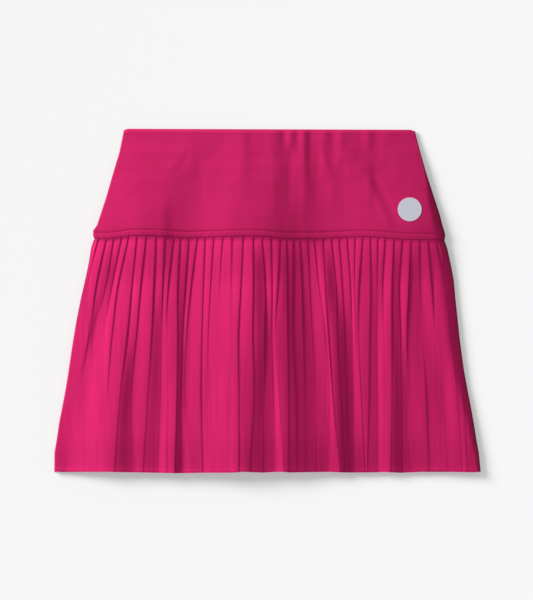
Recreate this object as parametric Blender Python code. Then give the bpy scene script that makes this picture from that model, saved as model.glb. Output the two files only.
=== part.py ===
"""A child's pleated skort, laid flat with its front up.

A plain knit yoke is also the waistband. A knife-pleated skirt hangs from it, over a pair of plain shorts.
The waist points to +Y, the hem to -Y, and the back lies on z = 0. Every size below is in millimetres.
"""

from functools import cache
from math import sqrt

import bmesh
import bpy
import numpy as np

MM = 0.001
COLLECTION = "skort"
WALL_STEPS = 9
SHARP_ANGLE = 0.7
ROUGHNESS = 0.9

# ---------------------------------------------------------------- sizes

WAIST_Y = 144.4
HEM_Y = -144.4
WAIST_SLOPE = -0.0036
CORNER = 3.0
CORNER_CUT = 0.35
SEAM_MEAN = 53.0

GAP = 0.3
YOKE_WALL = 1.2
SKIRT_WALL = 1.0
SHORTS_WALL = 1.0
BACK_WALL = 1.0
BACK_GROOVE = 0.6
BACK_GROOVE_HALF = 0.8
BACK_PLEATS = 43

# The layers are stacked on the floor in this order, a gap apart.
BACK_TOP = BACK_WALL + BACK_GROOVE
SHORTS_BACK_Z = BACK_TOP + GAP
SHORTS_FRONT_Z = SHORTS_BACK_Z + SHORTS_WALL + GAP
OVER_SHORTS = SHORTS_FRONT_Z + SHORTS_WALL + GAP + SKIRT_WALL
OVER_BACK = BACK_TOP + GAP + SKIRT_WALL

# The front panels turn down at the sides to meet the back: sharply on the left, softly on the right hip.
SKIRT_EDGE_Z = BACK_WALL + GAP + SKIRT_WALL
TUCKED_EDGE_Z = YOKE_WALL + GAP + SKIRT_WALL
TUCKED_ABOVE = 47.0
YOKE_EDGE_Z = YOKE_WALL + GAP + YOKE_WALL
LEFT_ROUND = 2.5
ROUND = ("y", "width")
RIGHT_ROUND = [
    (HEM_Y, 3.0),
    (-76.0, 9.0),
    (-26.0, 13.0),
    (12.0, 14.0),
    (44.0, 6.0),
    (60.0, 9.0),
    (80.0, 8.5),
    (100.0, 3.5),
    (115.0, 1.8),
    (WAIST_Y, 1.5),
]

# The shorts hold the front up. Past them it comes down: at the left side below the hip, and at the hem.
SHORTS_REACH = 134.0
LEFT_FALLS_BELOW = 60.0
SHORTS_HEM_Y = -109.0
HEM_FALLS_BELOW = SHORTS_HEM_Y - 2.0
HEM_FALL = 34.0
HEM_FALLS_BY = 1.2

# ---------------------------------------------------------------- outlines

SIDES = ("y", "left", "right")

YOKE_SIDES = [
    (144.4, -120.6, 123.4),
    (125.0, -124.5, 128.5),
    (106.0, -130.2, 133.9),
    (88.0, -135.3, 139.8),
    (72.0, -140.5, 145.0),
    (63.0, -143.5, 147.3),
    (59.0, -146.5, 148.6),
    (55.0, -146.8, 149.6),
    (50.5, -145.2, 149.0),
]

SKIRT_SIDES = [
    (60.0, -139.5, 143.0),
    (52.4, -141.5, 145.0),
    (50.6, -143.4, 145.6),
    (49.0, -146.6, 149.2),
    (44.0, -148.4, 151.2),
    (32.0, -150.2, 153.9),
    (18.0, -153.2, 156.6),
    (0.0, -157.3, 158.3),
    (-16.0, -160.5, 160.0),
    (-32.0, -163.3, 161.7),
    (-50.0, -166.0, 164.1),
    (-70.0, -168.9, 166.9),
    (-84.0, -171.6, 170.1),
    (-103.0, -175.3, 173.6),
    (-118.0, -177.5, 175.9),
    (-128.0, -179.2, 177.8),
    (-144.4, -179.4, 179.4),
]

SHORTS_SIDES = [
    (57.0, -132.5, 132.5),
    (49.0, -133.5, 133.5),
    (12.0, -133.5, 133.5),
    (-62.0, -132.0, 132.0),
    (-109.0, -130.0, 130.0),
]
CROTCH_Y = -62.0
LEG_INNER = 6.0

# The seam is the yoke's lower edge, which waves a little across the front.
SEAM = ("x", "y")
SEAM_LINE = [
    (-147.0, 51.7),
    (-131.0, 52.0),
    (-116.0, 54.4),
    (-97.0, 54.6),
    (-69.0, 52.7),
    (-53.0, 53.1),
    (-19.0, 54.3),
    (-2.0, 53.9),
    (9.0, 52.6),
    (22.0, 52.0),
    (43.0, 52.1),
    (57.0, 52.8),
    (78.0, 53.8),
    (94.0, 53.2),
    (105.0, 51.9),
    (121.0, 51.1),
    (149.0, 50.9),
]

# ---------------------------------------------------------------- yoke

YOKE_COLUMNS = 38
YOKE_TURN = (0.0, 0.004, 0.011)
YOKE_BACK_COLUMNS = 8
YOKE_ROWS = (144.4, 143.4, 141.0, 132.0, 122.0, 112.0, 102.0, 92.0, 82.0, 73.0, 66.0, 60.0, 56.0, 53.0)

PROFILE = ("y", "z")
YOKE_PROFILE = [
    (144.4, YOKE_EDGE_Z),
    (143.4, 2.9),
    (141.0, 3.1),
    (120.0, 4.2),
    (100.0, 5.2),
    (80.0, 6.3),
    (60.0, 7.2),
    (50.0, 7.2),
]
WAIST_ROUND = 2.5

# The elastic at the waist gathers the front, so it lies in broad soft waves. Each row is one place across it,
# with the height of the wave there at five levels of the yoke. Below the yoke they pass over into the pleats.
WAVE_LEVELS = (136.0, 122.0, 110.0, 97.0, 64.0)
WAVE = ("x", "waist", "upper", "middle", "lower", "seam")
WAVES = [
    (-148.0, 0.0, 0.2, 0.3, 0.3, 0.6),
    (-136.0, 0.2, 0.4, 0.6, 0.7, 1.4),
    (-120.0, 0.4, 0.9, 1.1, 1.5, 2.1),
    (-106.0, 0.5, 1.2, 1.4, 1.8, 2.7),
    (-90.0, 0.5, 1.2, 1.5, 1.8, 2.5),
    (-78.0, 0.5, 1.1, 1.6, 1.6, 1.4),
    (-65.0, 0.7, 1.1, 1.4, 1.2, 1.0),
    (-57.0, 0.7, 0.9, 1.1, 1.1, 1.2),
    (-48.0, 0.7, 0.8, 1.3, 1.4, 1.8),
    (-38.0, 0.7, 1.0, 1.5, 1.8, 2.6),
    (-30.0, 0.9, 1.3, 1.8, 2.2, 3.1),
    (-20.5, 1.2, 1.6, 2.2, 2.5, 3.3),
    (-13.0, 0.9, 1.3, 1.9, 2.4, 3.4),
    (-4.5, 0.9, 1.2, 1.8, 2.3, 3.3),
    (4.0, 1.1, 1.3, 1.8, 2.2, 2.9),
    (9.0, 0.9, 1.0, 1.6, 1.8, 2.5),
    (14.0, 0.4, 0.6, 1.1, 1.3, 2.0),
    (19.5, 0.8, 0.3, 0.6, 0.8, 1.5),
    (25.0, 0.4, 0.5, 0.8, 0.8, 1.0),
    (30.5, 0.9, 0.8, 0.9, 0.9, 0.7),
    (36.5, 0.2, 0.1, 0.2, 0.4, 0.3),
    (42.0, 0.4, 0.1, 0.0, 0.0, 0.1),
    (48.0, 0.8, 0.5, 0.4, 0.1, 0.0),
    (55.0, 0.4, 0.3, 0.4, 0.4, 0.1),
    (62.0, 0.9, 0.8, 0.4, 0.4, 0.3),
    (69.0, 0.6, 0.9, 0.8, 0.6, 0.6),
    (78.0, 0.5, 0.6, 1.0, 1.0, 1.2),
    (84.5, 0.8, 0.5, 0.8, 1.2, 1.5),
    (91.0, 0.4, 0.4, 0.4, 0.8, 1.8),
    (99.5, 0.6, 0.7, 0.5, 0.9, 2.1),
    (111.0, 0.4, 0.9, 0.9, 1.1, 2.4),
    (124.0, 0.2, 0.8, 1.0, 1.2, 2.6),
    (137.0, 0.0, 0.3, 0.8, 1.0, 2.4),
    (149.0, 0.0, 0.0, 0.2, 0.6, 1.4),
]
WAVES_END = 12.0
WAVES_FULL = SEAM_MEAN - 4.0

# ---------------------------------------------------------------- pleats

# Each pleat's fold line runs from the seam to the hem. It is given at five levels.
LEVELS = (50.0, 12.0, -26.0, -76.0, -140.0)
LINE = ("seam", "upper", "middle", "lower", "hem")
PLEAT_LINES = [
    (-142.6, -151.2, -150.8, -162.1, -169.3),
    (-135.7, -143.9, -148.3, -154.1, -154.1),
    (-129.4, -135.7, -144.9, -144.9, -147.8),
    (-123.1, -130.6, -137.3, -139.9, -142.4),
    (-117.2, -125.6, -130.1, -134.2, -137.3),
    (-110.0, -113.8, -117.2, -123.1, -128.1),
    (-102.1, -106.4, -109.6, -114.2, -113.4),
    (-93.7, -95.3, -97.0, -100.0, -104.2),
    (-86.1, -87.8, -88.9, -89.9, -92.0),
    (-79.0, -83.2, -84.8, -83.6, -84.4),
    (-73.3, -75.3, -75.3, -75.8, -77.3),
    (-66.2, -68.9, -71.0, -72.3, -72.7),
    (-59.2, -64.1, -67.5, -69.6, -64.3),
    (-52.5, -53.8, -54.9, -55.7, -54.3),
    (-45.4, -47.8, -49.6, -49.7, -48.3),
    (-37.8, -40.4, -41.6, -42.4, -42.4),
    (-29.8, -30.1, -29.8, -31.5, -33.2),
    (-20.6, -22.3, -24.3, -24.0, -23.9),
    (-12.0, -11.8, -12.3, -11.3, -14.7),
    (-4.6, -1.9, -2.1, -2.8, -3.8),
    (2.9, 3.8, 3.6, 4.9, 5.6),
    (10.5, 8.6, 6.7, 9.7, 14.3),
    (16.1, 16.8, 17.2, 17.6, 18.1),
    (21.8, 21.4, 21.4, 23.9, 24.8),
    (27.3, 29.1, 30.1, 31.5, 32.3),
    (33.7, 35.5, 37.6, 40.2, 40.7),
    (39.1, 43.2, 48.3, 51.7, 50.8),
    (46.6, 48.5, 51.2, 54.6, 60.9),
    (53.6, 57.7, 58.6, 61.3, 65.1),
    (60.1, 62.8, 64.7, 65.9, 68.5),
    (66.9, 69.6, 71.1, 71.8, 72.1),
    (73.3, 73.1, 73.7, 75.2, 76.9),
    (79.7, 76.9, 76.4, 78.5, 81.9),
    (86.2, 86.8, 86.1, 85.5, 84.0),
    (92.4, 92.0, 91.6, 92.0, 92.5),
    (98.5, 96.7, 97.4, 97.9, 97.9),
    (106.1, 104.6, 104.6, 104.6, 103.7),
    (112.9, 110.5, 111.7, 112.6, 113.0),
    (120.1, 118.9, 117.2, 118.4, 118.9),
    (127.3, 128.2, 130.0, 133.1, 135.7),
    (134.6, 138.0, 140.7, 147.1, 151.2),
    (141.4, 149.1, 153.7, 159.2, 163.4),
    (144.6, 153.7, 158.3, 164.2, 167.6),
]

# How far the cloth stands above what it lies on, just left (crest) and just right (foot) of each line.
# A crest above its foot is a fold that faces right; a foot above its crest is one that faces left.
HEIGHT = (
    "crest_upper", "foot_upper", "crest_middle", "foot_middle",
    "crest_lower", "foot_lower", "crest_hem", "foot_hem",
)
SEAM_CREST = 0.65
SEAM_FOOT = 0.15
PLEAT_HEIGHTS = [
    (2.1, 2.1, 3.0, 3.0, 2.6, 2.6, 1.0, 1.0),
    (2.4, 1.9, 2.8, 2.8, 2.6, 2.6, 2.6, 2.6),
    (1.7, 1.5, 2.5, 2.5, 3.4, 3.4, 3.4, 3.4),
    (1.6, 1.4, 2.6, 2.6, 3.8, 3.8, 4.1, 4.1),
    (1.8, 1.4, 3.2, 2.9, 4.1, 4.0, 4.7, 4.7),
    (2.3, 1.9, 3.6, 3.1, 4.7, 4.5, 5.2, 5.0),
    (2.7, 2.2, 3.5, 3.2, 3.4, 3.2, 3.9, 3.8),
    (3.0, 2.4, 4.0, 3.6, 4.1, 3.9, 4.2, 4.0),
    (2.8, 2.4, 3.2, 3.1, 3.3, 3.2, 3.8, 3.8),
    (2.7, 2.3, 3.4, 3.4, 3.8, 3.8, 4.9, 4.8),
    (2.6, 2.1, 3.7, 3.2, 4.3, 3.9, 5.5, 4.7),
    (1.9, 1.4, 2.8, 2.5, 3.4, 3.1, 4.2, 4.0),
    (1.7, 1.3, 2.7, 2.5, 3.2, 3.1, 4.9, 4.9),
    (2.2, 1.9, 3.5, 3.2, 4.2, 3.9, 5.3, 5.1),
    (2.6, 2.3, 3.8, 3.6, 4.3, 4.3, 6.0, 6.0),
    (3.0, 2.9, 4.4, 4.4, 5.2, 5.2, 6.8, 6.8),
    (4.0, 3.9, 5.8, 5.8, 6.6, 6.6, 7.9, 7.9),
    (4.7, 4.3, 6.2, 5.8, 7.2, 7.0, 8.9, 8.6),
    (5.3, 4.9, 6.7, 6.3, 6.9, 6.6, 8.3, 8.0),
    (4.0, 3.5, 5.6, 4.9, 5.5, 5.3, 6.9, 6.7),
    (4.0, 3.7, 4.9, 4.7, 5.0, 4.9, 6.1, 6.1),
    (4.1, 3.6, 5.0, 5.0, 5.6, 5.6, 7.2, 7.1),
    (3.2, 2.6, 4.6, 4.1, 5.4, 5.0, 6.8, 6.6),
    (2.3, 1.7, 3.6, 3.2, 4.3, 4.0, 5.8, 5.6),
    (1.3, 0.8, 2.4, 2.0, 3.1, 2.9, 4.7, 4.6),
    (0.7, 0.4, 1.5, 1.3, 2.2, 2.1, 3.7, 3.6),
    (1.0, 0.8, 2.1, 2.0, 2.5, 2.5, 2.9, 2.9),
    (1.7, 1.4, 2.4, 2.0, 3.1, 2.9, 3.7, 3.5),
    (0.3, 0.0, 1.7, 1.3, 2.2, 1.8, 2.4, 2.1),
    (0.5, 0.1, 0.6, 0.2, 1.0, 0.6, 1.5, 1.2),
    (0.5, 0.2, 0.0, 0.0, 0.0, 0.0, 0.8, 0.7),
    (0.6, 0.5, 0.4, 0.4, 0.7, 0.7, 1.0, 1.0),
    (0.8, 0.4, 0.5, 0.4, 1.1, 1.0, 1.1, 0.9),
    (0.9, 0.5, 0.8, 0.4, 1.1, 0.8, 1.1, 0.9),
    (0.6, 0.5, 0.3, 0.2, 0.6, 0.5, 0.7, 0.7),
    (0.7, 0.5, 0.9, 0.9, 1.3, 1.3, 1.5, 1.5),
    (1.4, 0.8, 1.5, 1.0, 1.8, 1.6, 2.1, 1.9),
    (0.8, 0.4, 0.6, 0.3, 0.5, 0.3, 0.7, 0.5),
    (1.3, 0.4, 0.9, 0.4, 0.2, 0.2, 0.3, 0.2),
    (0.6, 0.4, 0.3, 0.3, 0.7, 0.4, 0.8, 0.6),
    (1.2, 0.7, 0.9, 0.9, 0.3, 0.3, 1.5, 1.4),
    (1.2, 1.0, 1.5, 1.4, 1.3, 1.2, 2.2, 2.1),
    (1.0, 0.9, 1.4, 1.3, 1.2, 1.1, 2.5, 2.4),
]
FOLD_HALF = 0.5
BULGE = 0.1
MIN_COLUMN = 0.35
EDGE_COLUMNS = (0.0, 0.5, 1.4)

# The front skirt's rows, as levels. Near the seam they follow its waves.
SKIRT_ROWS = (
    57.0, 53.3, 51.2, 48.0, 42.0, 33.0, 22.0, 10.0,
    -8.0, -28.0, -52.0, -76.0, -98.0, -114.0, -130.0, -144.4,
)
FOLLOWS_ABOVE = 20.0
FOLLOWS_FULLY = 50.0
LEVEL_DIGITS = 1

# The pleats are sewn down flat under the yoke, and stand up within a few millimetres below it.
UNDER_YOKE = 0.2
STANDS_WITHIN = 3.0
STANDS_BY = 0.8
STANDS_FADE = 90.0
BACK_ROWS = (SEAM_MEAN - GAP, 48.0, 12.0, -30.0, -85.0, HEM_Y)
BACK_FIRST = 0.8
BACK_SWAY = 0.22
BACK_SWAY_STEP = 2.4

# ---------------------------------------------------------------- colours

YOKE_PINK = (0.55, 0.018, 0.12)
SKIRT_PINK = (0.72, 0.02, 0.16)
SHORTS_PINK = (0.42, 0.015, 0.10)


# ---------------------------------------------------------------- reading the tables


def read(table, columns, name, key):
    """A named column of a table, read between its rows at a value of the first column."""
    rows = np.array(sorted(table))
    return float(np.interp(key, rows[:, 0], rows[:, columns.index(name)]))


def edges(table, y):
    """The left and right edge of an outline at a level."""
    return read(table, SIDES, "left", y), read(table, SIDES, "right", y)


def smooth(t):
    """Eases from 0 to 1."""
    t = min(max(t, 0.0), 1.0)
    return t * t * (3 - 2 * t)


def wave(start, end, start_slope, end_slope, t):
    """A cubic from start to end with those slopes."""
    along = start * (2 * t**3 - 3 * t**2 + 1) + end * (3 * t**2 - 2 * t**3)
    return along + start_slope * (t**3 - 2 * t**2 + t) + end_slope * (t**3 - t**2)


def through(levels, values, level):
    """A smooth curve through values given at a few falling levels."""
    at, value = np.array(levels[::-1]), np.array(values[::-1])
    level = min(max(level, at[0]), at[-1])
    slope = np.gradient(value, at)
    i = min(int(np.searchsorted(at, level, side="right")) - 1, len(at) - 2)
    width = at[i + 1] - at[i]
    return wave(value[i], value[i + 1], width * slope[i], width * slope[i + 1], (level - at[i]) / width)


def calm_curve(at, value, x):
    """A curve through points that never overshoots them: level at each top and bottom."""
    x = min(max(x, at[0]), at[-1])
    rise = np.diff(value) / np.diff(at)
    same_way = rise[:-1] * rise[1:] > 0
    mean = np.where(same_way, 2 * rise[:-1] * rise[1:] / np.where(same_way, rise[:-1] + rise[1:], 1), 0)
    slope = [rise[0], *mean, rise[-1]]
    i = min(int(np.searchsorted(at, x, side="right")) - 1, len(at) - 2)
    width = at[i + 1] - at[i]
    return wave(value[i], value[i + 1], width * slope[i], width * slope[i + 1], (x - at[i]) / width)


def seam_y(x):
    return read(SEAM_LINE, SEAM, "y", x)


def waist_y(x):
    """The folded top edge, a little lower on the right, with small round corners."""
    left = YOKE_SIDES[0][1]
    right = YOKE_SIDES[0][2]
    from_corner = min(x - left, right - x)
    dip = 0.0 if from_corner > CORNER else CORNER_CUT * (CORNER - max(from_corner, 0.0))
    return WAIST_Y + WAIST_SLOPE * (x - left) - dip


# ---------------------------------------------------------------- walls


def other_side(xs, zs, wall, way):
    """The far side of a wall along one row, at least a wall away from the near side everywhere."""
    steps = np.linspace(-1, 1, WALL_STEPS) * wall
    far = []
    for x in xs:
        away = np.sqrt(np.maximum(wall**2 - steps**2, 0))
        near = np.interp(x + steps, xs, zs)
        far.append(min(near - away) if way < 0 else max(near + away))
    return far


def cloth(name, colour, points, wall, way):
    """A closed wall from rows of (x, y, z) points: a grid, extruded once, both sides then shaped."""
    last_row, last_column = len(points) - 1, len(points[0]) - 1

    def place(vert):
        """The row and column of a grid point, whose corners are at -1 and 1."""
        return round((1 - vert.co.y) / 2 * last_row), round((1 + vert.co.x) / 2 * last_column)

    mesh = bmesh.new()
    bmesh.ops.create_grid(mesh, x_segments=last_column, y_segments=last_row, size=1)
    near = {vert: place(vert) for vert in mesh.verts}
    extruded = bmesh.ops.extrude_face_region(mesh, geom=mesh.faces[:])["geom"]
    far = {vert: place(vert) for vert in extruded if isinstance(vert, bmesh.types.BMVert)}
    far_z = [other_side([p[0] for p in row], [p[2] for p in row], wall, way) for row in points]
    for vert, (i, j) in near.items():
        vert.co = [c * MM for c in points[i][j]]
    for vert, (i, j) in far.items():
        x, y, _ = points[i][j]
        vert.co = (x * MM, y * MM, far_z[i][j] * MM)
    bmesh.ops.recalc_face_normals(mesh, faces=mesh.faces[:])
    return finish(name, mesh, colour, True)


def finish(name, mesh, colour, rounded):
    data = bpy.data.meshes.new(name)
    mesh.to_mesh(data)
    mesh.free()
    if rounded:
        data.shade_smooth()
        data.set_sharp_from_angle(angle=SHARP_ANGLE)
    data.materials.append(material(name, colour))
    piece = bpy.data.objects.new(name, data)
    bpy.data.collections[COLLECTION].objects.link(piece)
    return piece


def material(name, colour):
    made = bpy.data.materials.new(name)
    made.use_nodes = True
    shader = made.node_tree.nodes["Principled BSDF"]
    shader.inputs["Base Color"].default_value = (*colour, 1)
    shader.inputs["Roughness"].default_value = ROUGHNESS
    shader.inputs["Metallic"].default_value = 0.0
    return made


def broad_wave(x, y):
    """The height of the front's broad waves."""
    at = [row[WAVE.index("x")] for row in WAVES]
    heights = [calm_curve(at, [row[WAVE.index(name)] for row in WAVES], x) for name in WAVE[1:]]
    height = heights[-1]
    for i in range(len(WAVE_LEVELS) - 2, -1, -1):
        share = (y - WAVE_LEVELS[i + 1]) / (WAVE_LEVELS[i] - WAVE_LEVELS[i + 1])
        height += (heights[i] - height) * smooth(share)
    return height * smooth((y - WAVES_END) / (WAVES_FULL - WAVES_END))


def turned_down(x, y, left, right, z, edge_z):
    """Rounds a front panel's side edges down to the back."""
    d = min((x - left) / LEFT_ROUND, (right - x) / read(RIGHT_ROUND, ROUND, "width", y))
    return edge_z + (z - edge_z) * sqrt(1 - (1 - min(max(d, 0.0), 1.0)) ** 2)


# ---------------------------------------------------------------- yoke


def yoke_point(across, level, front):
    """One point of the yoke: across runs 0 to 1 from left to right, level falls to the seam."""
    left, right = edges(YOKE_SIDES, level)
    x = left * (1 - across) + right * across
    share = (WAIST_Y - level) / (WAIST_Y - YOKE_ROWS[-1])
    lower_edge = seam_y(x) if front else SEAM_MEAN
    y = waist_y(x) + share * (lower_edge - waist_y(x))
    left, right = edges(YOKE_SIDES, y)
    x = left * (1 - across) + right * across
    if not front:
        return (x, y, 0.0)
    z = read(YOKE_PROFILE, PROFILE, "z", y) + broad_wave(x, y) * smooth((waist_y(x) - y) / WAIST_ROUND)
    return (x, y, turned_down(x, y, left, right, z, YOKE_EDGE_Z))


def make_yoke():
    inner = [i / YOKE_COLUMNS for i in range(1, YOKE_COLUMNS)]
    across = [*YOKE_TURN, *inner, *(1 - u for u in reversed(YOKE_TURN))]
    front = [[yoke_point(u, level, True) for u in across] for level in YOKE_ROWS]
    cloth("yoke_front", YOKE_PINK, front, YOKE_WALL, -1)
    few = [i / YOKE_BACK_COLUMNS for i in range(YOKE_BACK_COLUMNS + 1)]
    back = [[yoke_point(u, level, False) for u in few] for level in YOKE_ROWS]
    cloth("yoke_back", YOKE_PINK, back, YOKE_WALL, 1)


# ---------------------------------------------------------------- skirt


def lies_on(x, y):
    """The lowest that the front skirt's outer side may be: over the shorts, or over the back alone."""
    left, _ = edges(SKIRT_SIDES, y)
    past_side = min(max((x + SHORTS_REACH) / (left + SHORTS_REACH), 0.0), 1.0)
    past_side *= smooth((SEAM_MEAN - y) / LEFT_FALLS_BELOW)
    past_hem = smooth((HEM_FALLS_BELOW - y) / HEM_FALL)
    return OVER_SHORTS - (OVER_SHORTS - OVER_BACK) * past_side - HEM_FALLS_BY * past_hem * (1 - past_side)


def stands(pleat, side, y):
    """How far the cloth stands up beside a pleat's line: side is crest or foot."""
    at_seam = SEAM_CREST if side == "crest" else SEAM_FOOT
    row = PLEAT_HEIGHTS[pleat]
    values = [at_seam] + [row[HEIGHT.index(f"{side}_{level}")] for level in LINE[1:]]
    return max(through(LEVELS, values, y), 0.0)


@cache
def row_profile(y):
    """The columns of the front skirt at a level: (x, height above what it lies on)."""
    left, right = edges(SKIRT_SIDES, y)
    lines = [through(LEVELS, row, y) for row in PLEAT_LINES]
    crests = [stands(k, "crest", y) for k in range(len(lines))]
    feet = [stands(k, "foot", y) for k in range(len(lines))]
    steps = [crest - foot for crest, foot in zip(crests, feet)]
    means = [(crest + foot) / 2 for crest, foot in zip(crests, feet)]
    columns = [(left + d, feet[0]) for d in EDGE_COLUMNS]
    for k, x in enumerate(lines):
        columns.append((x - FOLD_HALF, calm_curve(lines, means, x - FOLD_HALF) + steps[k] / 2))
        columns.append((x + FOLD_HALF, calm_curve(lines, means, x + FOLD_HALF) - steps[k] / 2))
        if k + 1 < len(lines):
            middle = (x + lines[k + 1]) / 2
            rise = calm_curve(lines, means, middle) + (steps[k + 1] - steps[k]) / 4
            columns.append((middle, rise + BULGE))
    columns += [(right - d, feet[-1]) for d in reversed(EDGE_COLUMNS)]
    return left, right, keep_apart(columns)


def keep_apart(columns):
    """Moves columns sideways where they would come too near each other or the edges."""
    xs = [x for x, _ in columns]
    for j in range(1, len(xs)):
        xs[j] = max(xs[j], xs[j - 1] + MIN_COLUMN)
    xs[-1] = columns[-1][0]
    for j in range(len(xs) - 2, -1, -1):
        xs[j] = min(xs[j], xs[j + 1] - MIN_COLUMN)
    xs[0] = columns[0][0]
    return [(x, z) for x, (_, z) in zip(xs, columns)]


def skirt_row(level):
    """One row of the front skirt's outer side."""
    _, _, first = row_profile(level)
    follow = smooth((level - FOLLOWS_ABOVE) / (FOLLOWS_FULLY - FOLLOWS_ABOVE))
    row = []
    for j, (x, _) in enumerate(first):
        y = max(level + follow * (seam_y(x) - SEAM_MEAN), HEM_Y)
        left, right, columns = row_profile(round(y, LEVEL_DIGITS))
        x, height = columns[j]
        out = smooth((seam_y(x) - y) / STANDS_WITHIN)
        height *= UNDER_YOKE + (1 - UNDER_YOKE) * out
        height += STANDS_BY * out * smooth((y - HEM_FALLS_BELOW) / STANDS_FADE)
        edge_z = TUCKED_EDGE_Z if y > TUCKED_ABOVE else SKIRT_EDGE_Z
        z = lies_on(x, y) + height + broad_wave(x, y)
        row.append((x, y, turned_down(x, y, left, right, z, edge_z)))
    return row


def make_skirt_front():
    rows = [skirt_row(level) for level in SKIRT_ROWS]
    cloth("skirt_front", SKIRT_PINK, rows, SKIRT_WALL, -1)


def make_skirt_back():
    """The back's pleats are pressed flat, with a groove at each fold."""
    rows = []
    for level in BACK_ROWS:
        left, right = edges(SKIRT_SIDES, level)
        columns = [(left, 0.0)]
        for k in range(BACK_PLEATS):
            uneven = k + BACK_FIRST + BACK_SWAY * np.sin(BACK_SWAY_STEP * k)
            x = left + (right - left) * uneven / (BACK_PLEATS + 2 * BACK_FIRST - 1)
            columns += [(x - BACK_GROOVE_HALF, 0.0), (x, BACK_GROOVE), (x + BACK_GROOVE_HALF, 0.0)]
        columns.append((right, 0.0))
        rows.append([(x, level, z) for x, z in columns])
    cloth("skirt_back", SKIRT_PINK, rows, BACK_WALL, 1)


# ---------------------------------------------------------------- shorts


def make_shorts(name, bottom):
    """One flat panel of the shorts: both sides, the leg hems and the notch between the legs."""
    right_side = [(right, y) for y, _, right in SHORTS_SIDES]
    outline = right_side + [(LEG_INNER, SHORTS_HEM_Y), (0.0, CROTCH_Y), (-LEG_INNER, SHORTS_HEM_Y)]
    outline += [(left, y) for y, left, _ in reversed(SHORTS_SIDES)]
    mesh = bmesh.new()
    corners = [mesh.verts.new((x * MM, y * MM, bottom * MM)) for x, y in outline]
    mesh.faces.new(corners)
    raised = bmesh.ops.extrude_face_region(mesh, geom=mesh.faces[:])["geom"]
    top = [v for v in raised if isinstance(v, bmesh.types.BMVert)]
    bmesh.ops.translate(mesh, verts=top, vec=(0, 0, SHORTS_WALL * MM))
    bmesh.ops.recalc_face_normals(mesh, faces=mesh.faces[:])
    return finish(name, mesh, SHORTS_PINK, False)


# ---------------------------------------------------------------- the garment


def main():
    for old in list(bpy.data.objects):
        bpy.data.objects.remove(old, do_unlink=True)
    collection = bpy.data.collections.new(COLLECTION)
    bpy.context.scene.collection.children.link(collection)
    make_yoke()
    make_skirt_front()
    make_skirt_back()
    make_shorts("shorts_back", SHORTS_BACK_Z)
    make_shorts("shorts_front", SHORTS_FRONT_Z)


main()
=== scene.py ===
# %% [markdown]
# # A child's pleated skort, laid flat
#
# A skort is a skirt with shorts sewn inside it. This one has a wide plain knit yoke that is also the
# waistband, and a knife-pleated skirt below it. It lies on its back on a pale table, waist away from us.
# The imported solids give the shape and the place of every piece. This script gives them their looks.

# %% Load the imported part
import functools
import math

import bmesh
import bpy
import numpy as np
from mathutils import Matrix, Vector


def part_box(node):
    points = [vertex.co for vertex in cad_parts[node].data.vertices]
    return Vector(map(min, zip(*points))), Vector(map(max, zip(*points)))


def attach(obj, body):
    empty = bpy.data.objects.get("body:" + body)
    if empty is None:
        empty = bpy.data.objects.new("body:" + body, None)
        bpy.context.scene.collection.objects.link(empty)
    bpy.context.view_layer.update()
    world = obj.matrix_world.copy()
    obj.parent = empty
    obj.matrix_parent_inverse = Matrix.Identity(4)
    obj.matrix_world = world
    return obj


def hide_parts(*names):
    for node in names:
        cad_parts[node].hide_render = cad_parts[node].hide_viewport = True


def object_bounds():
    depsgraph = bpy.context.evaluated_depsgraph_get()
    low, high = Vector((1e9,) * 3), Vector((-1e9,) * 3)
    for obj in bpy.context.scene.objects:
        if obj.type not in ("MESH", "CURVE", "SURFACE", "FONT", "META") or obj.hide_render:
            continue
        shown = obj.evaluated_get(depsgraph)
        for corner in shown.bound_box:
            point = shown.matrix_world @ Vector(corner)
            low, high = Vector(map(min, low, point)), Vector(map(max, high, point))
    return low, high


MM = 0.001

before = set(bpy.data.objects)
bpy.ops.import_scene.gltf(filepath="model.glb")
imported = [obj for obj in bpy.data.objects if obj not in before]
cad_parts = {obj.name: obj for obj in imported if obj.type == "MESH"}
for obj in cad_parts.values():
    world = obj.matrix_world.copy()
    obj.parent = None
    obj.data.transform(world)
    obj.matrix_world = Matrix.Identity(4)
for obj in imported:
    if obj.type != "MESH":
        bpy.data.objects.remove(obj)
cad_low, cad_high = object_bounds()
packed_size = [round((b - a) / MM, 1) for a, b in zip(cad_low, cad_high)]
print(len(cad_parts), "solids, in a box of", packed_size, "mm")

# %% [markdown]
# ## Sizes
#
# All tables below are in millimetres, in the part's own frame: the waist points to +Y, the hem to -Y, and
# the back lies on z = 0. A garment is measured flat, so its outline is a table of left and right edges at
# falling levels, and the seam between yoke and skirt is a short table of its own.

# %% Sizes and outlines
WAIST_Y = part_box("yoke_front")[1].y / MM
HEM_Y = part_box("skirt_front")[0].y / MM
SEAM_MEAN = 53.0

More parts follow.
